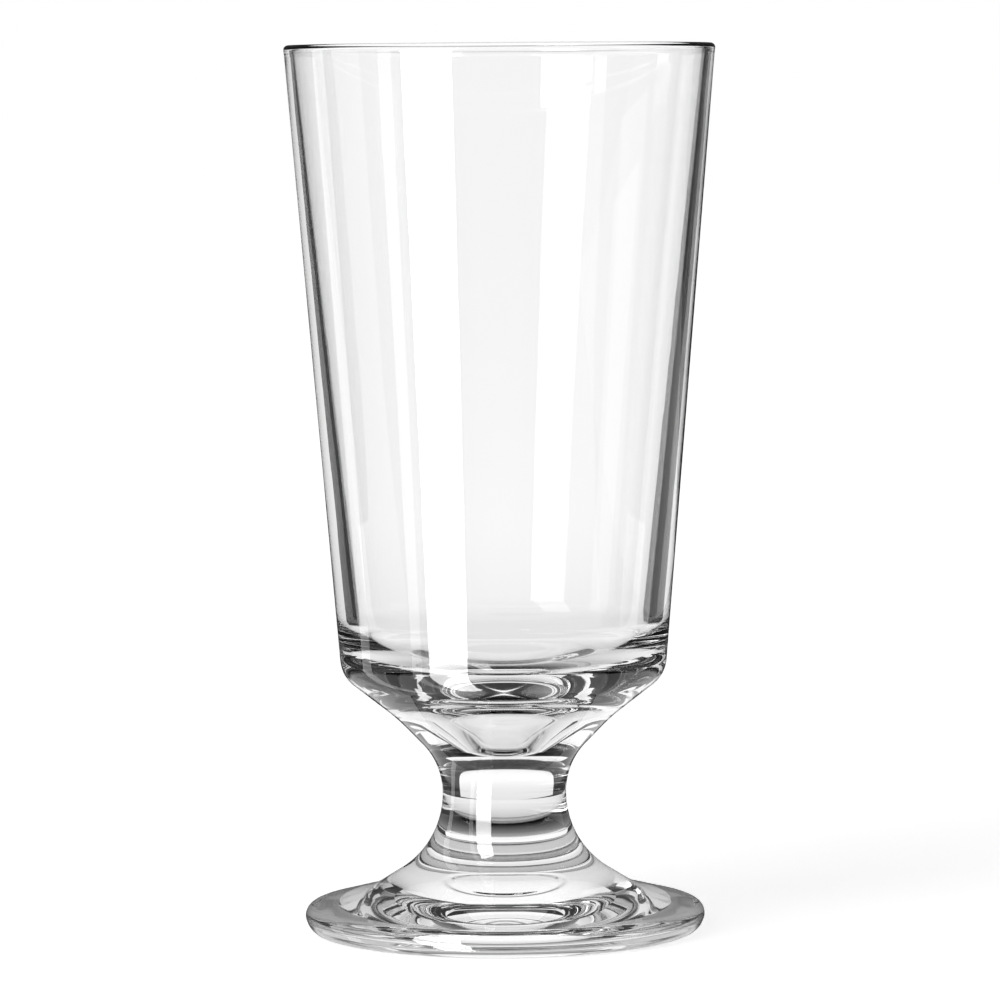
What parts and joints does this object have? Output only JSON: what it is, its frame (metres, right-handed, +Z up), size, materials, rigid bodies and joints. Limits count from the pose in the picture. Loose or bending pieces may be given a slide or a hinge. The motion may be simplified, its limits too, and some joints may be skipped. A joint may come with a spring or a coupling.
{
  "type": "footed highball glass",
  "caption": "Clear footed highball glass: a tall tapered bowl with a beaded lip and a solid heel, on a short waisted stem and a round foot.",
  "frame": {"origin": "centre of the standing ring under the foot, on the surface that the glass stands on", "axes": "+Z up along the axis of the glass, towards the lip; the glass is round, so X and Y are free"},
  "size_m": [0.0728, 0.0728, 0.1506],
  "materials": {
    "clear_glass": "fire-polished clear pressed glass, colourless"
  },
  "bodies": {
    "root": {"bowl": "clear_glass", "stem": "clear_glass", "foot": "clear_glass"}
  },
  "joints": []
}
